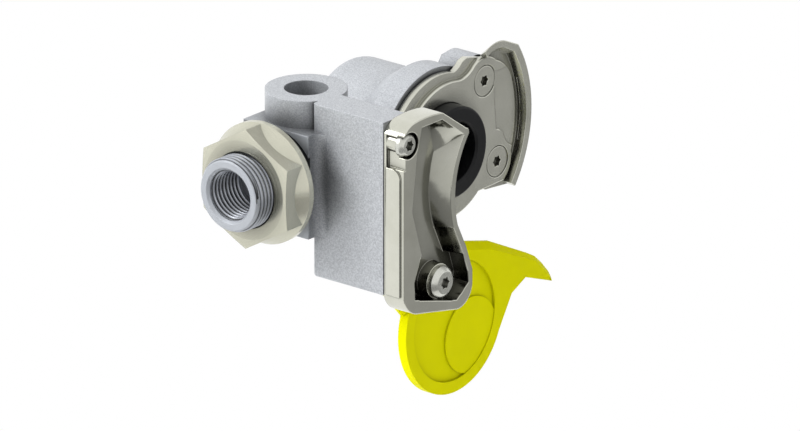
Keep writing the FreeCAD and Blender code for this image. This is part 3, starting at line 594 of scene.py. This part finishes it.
@dataclass(frozen=True)
class Finishes:
    """Every finish of the coupling head."""

    cast: Finish = Finish(
        "cast_alloy_grain", light=linear(204, 207, 211), dark=linear(168, 171, 176),
        metallic=0.45, rough=(0.4, 0.52), tone_scale=2600.0,
        grain_scale=2600.0, grain_depth=0.00006, grain_strength=0.9,
        shade=0.05, reach=0.01, power=1.5, edge=0.0004, turned=linear(176, 180, 186))
    # The turned and tapped threads paint shade into their roots between the two root radii.
    thread: Finish = Finish(
        "turned_alloy", light=linear(186, 190, 198), dark=linear(172, 176, 184),
        metallic=0.7, rough=(0.26, 0.34), tone_scale=200.0,
        grain_scale=2500.0, grain_depth=0.000005, grain_strength=0.1,
        shade=0.2, reach=0.001, root=(0.01052, 0.01088))
    tapped: Finish = Finish(
        "tapped_alloy", light=linear(196, 200, 208), dark=linear(184, 188, 196),
        metallic=0.7, rough=(0.26, 0.34), tone_scale=200.0,
        grain_scale=2500.0, grain_depth=0.000005, grain_strength=0.1,
        shade=0.2, reach=0.001, root=(0.00738, 0.00696))
    nut: Finish = Finish(
        "cream_nickel", light=linear(212, 211, 194), dark=linear(204, 203, 186),
        metallic=0.8, rough=(0.2, 0.26), tone_scale=60.0,
        grain_scale=300.0, grain_depth=0.000005, grain_strength=0.0,
        shade=0.1, reach=0.009, edge=0.0003)
    plate: Finish = Finish(
        "satin_nickel", light=linear(224, 224, 212), dark=linear(212, 212, 200),
        metallic=0.95, rough=(0.2, 0.26), tone_scale=70.0,
        grain_scale=300.0, grain_depth=0.00001, grain_strength=0.0,
        shade=0.12, reach=0.005, edge=0.0004)
    lug: Finish = Finish(
        "bright_nickel", light=linear(218, 218, 206), dark=linear(208, 208, 195),
        metallic=1.0, rough=(0.1, 0.16), tone_scale=90.0,
        grain_scale=420.0, grain_depth=0.00003, grain_strength=0.0,
        shade=0.12, reach=0.03, power=1.9, local=True, edge=0.0005)
    screw: Finish = Finish(
        "zinc_screw", light=linear(215, 216, 208), dark=linear(200, 200, 192),
        metallic=0.9, rough=(0.22, 0.32), tone_scale=300.0,
        grain_scale=900.0, grain_depth=0.000005, grain_strength=0.1,
        shade=0.02, reach=0.0016, edge=0.0002)
    rubber: Finish = Finish(
        "black_rubber", light=linear(17, 18, 20), dark=linear(12, 13, 15),
        metallic=0.0, rough=(0.42, 0.55), tone_scale=200.0,
        grain_scale=2200.0, grain_depth=0.00001, grain_strength=0.3,
        specular=0.25, shade=0.2, edge=0.0003)
    gasket: Finish = Finish(
        "gasket_fibre", light=linear(150, 152, 150), dark=linear(138, 140, 138),
        metallic=0.0, rough=(0.6, 0.75), tone_scale=200.0,
        grain_scale=2200.0, grain_depth=0.00001, grain_strength=0.3,
        specular=0.25)
    filter: Finish = Finish(
        "black_nylon", light=linear(40, 40, 44), dark=linear(30, 30, 34),
        metallic=0.0, rough=(0.4, 0.55), tone_scale=200.0,
        grain_scale=1800.0, grain_depth=0.00001, grain_strength=0.3,
        specular=0.3)
    gauze: Finish = Finish(
        "spring_wire", light=linear(168, 168, 164), dark=linear(150, 150, 146),
        metallic=1.0, rough=(0.25, 0.35), tone_scale=400.0,
        grain_scale=2600.0, grain_depth=0.00001, grain_strength=0.2)
    lid: Finish = Finish(
        "signal_yellow", light=linear(244, 242, 0), dark=linear(239, 237, 0),
        metallic=0.0, rough=(0.4, 0.5), tone_scale=50.0,
        grain_scale=1400.0, grain_depth=0.000005, grain_strength=0.1,
        specular=0.02, shade=0.55, reach=0.005)


@dataclass
class Dresser:
    """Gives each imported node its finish.

    Attributes:
        finishes: Every finish.
        groups: The shared node groups.
        made: The materials built so far, by name.
    """

    finishes: Finishes
    groups: Groups
    made: dict[str, bpy.types.Material] = field(default_factory=dict)

    def material(self, finish: Finish) -> bpy.types.Material:
        """Give a finish's material, built at its first use.

        Args:
            finish: The finish.

        Returns:
            Its material.
        """
        if finish.name not in self.made:
            self.made[finish.name] = finish.build(self.groups)
        return self.made[finish.name]

    def dress(self, node: bpy.types.Object, finish: Finish) -> None:
        """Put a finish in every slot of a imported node.

        Args:
            node: The node's object.
            finish: The finish that it gets.
        """
        material = self.material(finish)
        if not node.material_slots:
            node.data.materials.append(material)
        for place in node.material_slots:
            place.material = material
        LOG.info("finish %s on %s", finish.name, node.name)


@dataclass(frozen=True)
class Thread:
    """A helical ridge on a shaft or in a bore along Y, in metres.

    Attributes:
        name: Name of its piece.
        root_radius: Radius of the wall that it stands on.
        crest_radius: Radius of its crest.
        start_y: Where it starts along Y.
        end_y: Where it ends.
        pitch: Its advance per turn.
        steps: Sections per turn.
        foot_share: Half the width of its foot, as a share of the pitch.
        crest_share: Half the width of its crest, as a share of the foot's.
        fade_turns: Turns over which it rises from the wall at each end.
    """

    name: str
    root_radius: float
    crest_radius: float
    start_y: float
    end_y: float
    pitch: float = 0.0015
    steps: int = 72
    foot_share: float = 0.46
    crest_share: float = 0.22
    fade_turns: float = 0.2

    def build(self) -> bpy.types.Object:
        """Build the ridge as one mesh that tapers into the wall at both ends.

        Returns:
            The new object.
        """
        length = self.end_y - self.start_y
        count = int(length / self.pitch * self.steps)
        foot = self.pitch * self.foot_share
        flat = foot * self.crest_share
        fade_steps = self.steps * self.fade_turns
        verts, faces = [], []
        for i in range(count + 1):
            angle = 2 * math.pi * i / self.steps
            along = self.start_y + length * (i / count)
            fade = min(1.0, i / fade_steps, (count - i) / fade_steps)
            crest = self.root_radius + (self.crest_radius - self.root_radius) * fade
            for radius, shift in ((self.root_radius, -foot), (crest, -flat),
                                  (crest, flat), (self.root_radius, foot)):
                verts.append((radius * math.cos(angle), along + shift,
                              radius * math.sin(angle)))
            if i:
                faces.extend(band(CORNERS * (i - 1), CORNERS * i))
        end = CORNERS * count
        faces.append(tuple(reversed(range(CORNERS))))
        faces.append(tuple(range(end, end + CORNERS)))
        return new_piece(self.name, verts, faces)


@dataclass(frozen=True)
class WaveSpring:
    """The wavy ring that holds the lid where it is put, in metres.

    Attributes:
        centre: Middle of the ring.
        inner: Its inner radius.
        outer: Its outer radius.
        wire: Thickness of its wire.
        lift: How far a wave stands out to each side.
        waves: Waves in the ring.
        steps: Sections round the ring.
    """

    centre: Vector
    inner: float = 0.0027
    outer: float = 0.0048
    wire: float = 0.0003
    lift: float = 0.00033
    waves: int = 3
    steps: int = 72

    def build(self) -> bpy.types.Object:
        """Build the ring about an axis along X.

        Returns:
            The new object.
        """
        verts, faces = [], []
        for i in range(self.steps):
            angle = 2 * math.pi * i / self.steps
            wave = self.lift * math.sin(self.waves * angle)
            for radius, side in ((self.inner, -1), (self.outer, -1), (self.outer, 1),
                                 (self.inner, 1)):
                verts.append((self.centre.x + wave + side * self.wire / 2,
                              self.centre.y + radius * math.cos(angle),
                              self.centre.z + radius * math.sin(angle)))
            faces.extend(band(CORNERS * i, CORNERS * ((i + 1) % self.steps)))
        return new_piece("lid_wave_spring", verts, faces)


@dataclass(frozen=True)
class Lamp:
    """A square area lamp that points at the picture's middle, in metres from there.

    Attributes:
        name: Name of the lamp.
        across: How far it stands to the picture's right.
        up: How far it stands up the picture.
        back: How far it stands towards the camera.
        rise: How far it stands straight above.
        size: Its side.
        watts: Its power.
        gloss: True if it shows only in gloss, False if it only lights.
    """

    name: str
    across: float
    up: float
    back: float
    rise: float
    size: float
    watts: float
    gloss: bool = False

    def hang(self, picture: Picture) -> None:
        """Put the lamp in the scene.

        Args:
            picture: The view that it belongs to.
        """
        right, up, back = picture.axes()
        middle = picture.centre()
        place = (middle + right * self.across + up * self.up + back * self.back
                 + Vector((0.0, 0.0, self.rise)))
        data = bpy.data.lights.new(self.name, "AREA")
        data.size = self.size
        data.energy = self.watts
        lamp = bpy.data.objects.new(self.name, data)
        lamp.location = place
        lamp.visible_glossy = self.gloss
        lamp.visible_diffuse = not self.gloss
        lamp.rotation_euler = (middle - place).to_track_quat("-Z", "Y").to_euler()
        bpy.context.scene.collection.objects.link(lamp)


@dataclass(frozen=True)
class Card:
    """A grey rectangle that shows only in the object's metal, in metres.

    Attributes:
        name: Name of the card.
        near: Its first corner, in the card's two directions.
        far: The corner across from it.
        grey: How bright it looks in metal.
    """

    name: str
    near: tuple[float, float]
    far: tuple[float, float]
    grey: float

    def hang(self, origin: Vector, first: Vector, second: Vector) -> None:
        """Put the card in the scene.

        Args:
            origin: The point that its corners count from.
            first: Its first direction.
            second: Its second direction.
        """
        (a0, b0), (a1, b1) = self.near, self.far
        corners = [tuple(origin + first * a + second * b)
                   for a, b in ((a0, b0), (a1, b0), (a1, b1), (a0, b1))]
        card = new_piece(self.name, corners, [(0, 1, 2, 3)])
        card.visible_camera = False
        card.visible_diffuse = False
        card.visible_shadow = False
        material = bpy.data.materials.new(f"{self.name}_grey")
        material.use_nodes = True
        nodes, links = material.node_tree.nodes, material.node_tree.links
        glow = nodes.new("ShaderNodeEmission")
        set_inputs(glow, {"Color": (self.grey, self.grey, self.grey, 1.0)})
        links.new(glow.outputs[0], nodes["Material Output"].inputs["Surface"])
        card.data.materials.append(material)


@dataclass(frozen=True)
class Studio:
    """Floor, backdrop, lamps, cards, world and camera.

    Attributes:
        picture: The view that it is set up for.
        floor_z: Height of the floor in metres.
        floor_reach: Half its side in metres.
        card_gap: How far the lying cards are above the floor.
        wall_y: Where the standing card is along Y from the picture's middle.
        sky: Strength of the sky that lights the object.
        lamps: The lamps.
        lying: Cards on the floor, in the picture's right and the floor's depth.
        standing: The card behind the object, in X and Z.
    """

    picture: Picture
    floor_z: float = -0.125
    floor_reach: float = 6.0
    card_gap: float = 0.001
    wall_y: float = 1.2
    sky: float = 0.34
    lamps: tuple[Lamp, ...] = (
        Lamp("sheen", -0.95, 0.5, 0.42, 0.0, size=0.4, watts=2.2, gloss=True),
        Lamp("key_left", -0.95, 0.5, 0.42, 0.0, size=0.6, watts=14.5),
        Lamp("top_soft", 0.0, 0.0, 0.0, 0.8, size=0.7, watts=2.6),
        Lamp("fill_right", 0.8, 0.0, 0.35, 0.0, size=0.6, watts=0.6),
        Lamp("low_fill", 0.0, -0.5, 0.6, 0.0, size=0.6, watts=0.5))
    lying: tuple[Card, ...] = (
        Card("flag_right", near=(0.16, -0.5), far=(0.76, 0.5), grey=0.38),
        Card("flag_front", near=(-0.1, -0.8), far=(0.16, -0.12), grey=0.38))
    standing: Card = Card("flag_back", near=(-0.5, 0.45), far=(0.9, 1.8), grey=0.5)

    def build(self) -> None:
        """Build the whole studio."""
        self._floor()
        self._world()
        for lamp in self.lamps:
            lamp.hang(self.picture)
        self._cards()
        self._camera()

    def _cards(self) -> None:
        """Hang the cards beside the object, before it and behind it."""
        right, _, _ = self.picture.axes()
        middle = self.picture.centre()
        depth = Vector((-right.y, right.x, 0.0))
        low = Vector((middle.x, middle.y, self.floor_z + self.card_gap))
        for card in self.lying:
            card.hang(low, right, depth)
        wall = middle + Vector((0.0, self.wall_y, 0.0))
        self.standing.hang(wall, Vector((1.0, 0.0, 0.0)), Vector((0.0, 0.0, 1.0)))

    def _floor(self) -> None:
        """Lay a pale floor that looks white and still throws light back up."""
        reach = self.floor_reach
        corners = ((-reach, -reach), (reach, -reach), (reach, reach), (-reach, reach))
        floor = new_piece("studio_floor", [(x, y, self.floor_z) for x, y in corners],
                          [(0, 1, 2, 3)])
        material = bpy.data.materials.new("studio_floor_white")
        material.use_nodes = True
        nodes, links = material.node_tree.nodes, material.node_tree.links
        shader = nodes["Principled BSDF"]
        set_inputs(shader, {"Base Color": (0.92, 0.92, 0.92, 1.0), "Roughness": 0.9})
        glow = nodes.new("ShaderNodeEmission")
        shown = self._split(nodes, links, shader, glow)
        links.new(shown, nodes["Material Output"].inputs["Surface"])
        floor.data.materials.append(material)

    def _split(self, nodes: bpy.types.Nodes, links: bpy.types.NodeLinks,
               lit: bpy.types.Node, shown: bpy.types.Node) -> bpy.types.NodeSocket:
        """Use one shader for the light that a thing gives and one for how it looks.

        Args:
            nodes: Nodes of the material or the world.
            links: Its links.
            lit: The shader that lights the object.
            shown: The shader that the camera and the object's metal see.

        Returns:
            The socket that carries both.
        """
        mix = nodes.new("ShaderNodeMixShader")
        links.new(self._seen(nodes, links), mix.inputs[0])
        links.new(lit.outputs[0], mix.inputs[1])
        links.new(shown.outputs[0], mix.inputs[2])
        return mix.outputs[0]

    @staticmethod
    def _seen(nodes: bpy.types.Nodes, links: bpy.types.NodeLinks) -> bpy.types.NodeSocket:
        """Tell whether a ray shows the background: to the camera, in metal or through glass.

        Args:
            nodes: Nodes of the material or the world.
            links: Its links.

        Returns:
            A socket that is 1 for such a ray and 0 for any other.
        """
        path = nodes.new("ShaderNodeLightPath")
        total = path.outputs["Is Camera Ray"]
        for label in ("Is Glossy Ray", "Is Transmission Ray"):
            either = nodes.new("ShaderNodeMath")
            either.operation = "MAXIMUM"
            links.new(total, either.inputs[0])
            links.new(path.outputs[label], either.inputs[1])
            total = either.outputs[0]
        return total

    def _world(self) -> None:
        """Make a world that looks white and lights the object like a soft sky."""
        world = bpy.data.worlds.new("studio_world")
        bpy.context.scene.world = world
        world.use_nodes = True
        nodes, links = world.node_tree.nodes, world.node_tree.links
        plain = nodes["Background"]
        set_inputs(plain, {"Strength": self.sky})
        place = nodes.new("ShaderNodeTexCoord")
        split = nodes.new("ShaderNodeSeparateXYZ")
        ramp = nodes.new("ShaderNodeValToRGB")
        below, above = ramp.color_ramp.elements
        below.position, below.color = 0.30, (0.30, 0.31, 0.27, 1.0)
        above.position, above.color = 0.85, WHITE
        spread = nodes.new("ShaderNodeMapRange")
        set_inputs(spread, {"From Min": -1.0, "From Max": 1.0})
        white = nodes.new("ShaderNodeBackground")
        set_inputs(white, {"Color": WHITE})
        links.new(place.outputs["Generated"], split.inputs[0])
        links.new(split.outputs["Z"], spread.inputs["Value"])
        links.new(spread.outputs["Result"], ramp.inputs["Fac"])
        links.new(ramp.outputs["Color"], plain.inputs["Color"])
        shown = self._split(nodes, links, plain, white)
        links.new(shown, nodes["World Output"].inputs["Surface"])

    def _camera(self) -> None:
        """Set up a long-lens camera that matches the photograph's parallel view."""
        _, _, back = self.picture.axes()
        data = bpy.data.cameras.new("photo_camera")
        data.sensor_width = SENSOR_WIDTH
        data.lens = (self.picture.pixels_per_metre * data.sensor_width / self.picture.width
                     * self.picture.distance)
        data.clip_start, data.clip_end = CLIP_START, CLIP_END
        camera = bpy.data.objects.new("photo_camera", data)
        camera.location = self.picture.centre() + back * self.picture.distance
        camera.rotation_euler = (-back).to_track_quat("-Z", "Y").to_euler()
        bpy.context.scene.collection.objects.link(camera)
        bpy.context.scene.camera = camera


@dataclass(frozen=True)
class CouplingHead:
    """The cast head with its plate, lug, filter and screws.

    Attributes:
        nodes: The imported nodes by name.
        dresser: What gives them their finishes.
    """

    nodes: dict[str, bpy.types.Object]
    dresser: Dresser

    def dress(self) -> None:
        """Give every node of the head its finish."""
        f = self.dresser.finishes
        wanted = {
            "body_casting": f.cast, "lock_nut": f.nut, "claw_plate": f.plate,
            "guide_lug": f.lug, "plate_screw_upper": f.plate, "plate_screw_lower": f.plate,
            "lug_screw": f.screw, "pivot_screw": f.screw, "pivot_washer": f.screw,
            "pivot_nut": f.screw, "lid_spring": f.gauze, "dowel_pin": f.screw,
            "pivot_bush": f.filter, "seal_ring": f.rubber, "plate_gasket": f.gasket,
            "filter_basket": f.filter, "filter_gauze": f.gauze, "filter_spring": f.gauze,
            "spring_seat": f.gauze}
        for name, finish in wanted.items():
            self.dresser.dress(self.nodes[name], finish)

    def threads(self) -> None:
        """Cut the look of the outer and inner thread in real ridges."""
        low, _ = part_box("body_casting")
        nut_low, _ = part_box("lock_nut")
        mouth = low.y
        outer = Thread("stub_thread", STUB_ROOT, STUB_CREST,
                       mouth + STUB_LEAD, nut_low.y + STUB_RUNOUT)
        inner = Thread("port_thread", PORT_ROOT, PORT_CREST,
                       mouth + PORT_LEAD, mouth + PORT_DEPTH)
        looks = self.dresser.finishes
        for thread, finish in ((outer, looks.thread), (inner, looks.tapped)):
            piece = thread.build()
            piece.data.materials.append(self.dresser.material(finish))
            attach(piece, Body.HEAD.value)
            LOG.info("built %s", piece.name)

    def wave_spring(self) -> None:
        """Show the lid's flat ring as the wavy spring that it is."""
        low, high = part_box("lid_spring")
        piece = WaveSpring((low + high) / 2).build()
        piece.data.materials.append(self.dresser.material(self.dresser.finishes.gauze))
        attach(piece, Body.HEAD.value)
        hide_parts("lid_spring")
        LOG.info("built %s", piece.name)


@dataclass(frozen=True)
class Lid:
    """The yellow cover.

    Attributes:
        node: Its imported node.
        dresser: What gives it its finish.
    """

    node: bpy.types.Object
    dresser: Dresser

    def dress(self) -> None:
        """Give the lid its moulded finish."""
        self.dresser.dress(self.node, self.dresser.finishes.lid)


def main() -> None:
    """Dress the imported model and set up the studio."""
    logging.basicConfig(level=logging.INFO)
    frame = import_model()
    bpy.context.scene.view_settings.view_transform = "Standard"
    dresser = Dresser(Finishes(), Groups())
    head = CouplingHead(frame["nodes"], dresser)
    head.dress()
    head.threads()
    head.wave_spring()
    Lid(frame["nodes"]["lid"], dresser).dress()
    Studio(Picture()).build()


if __name__ == "__main__":
    main()
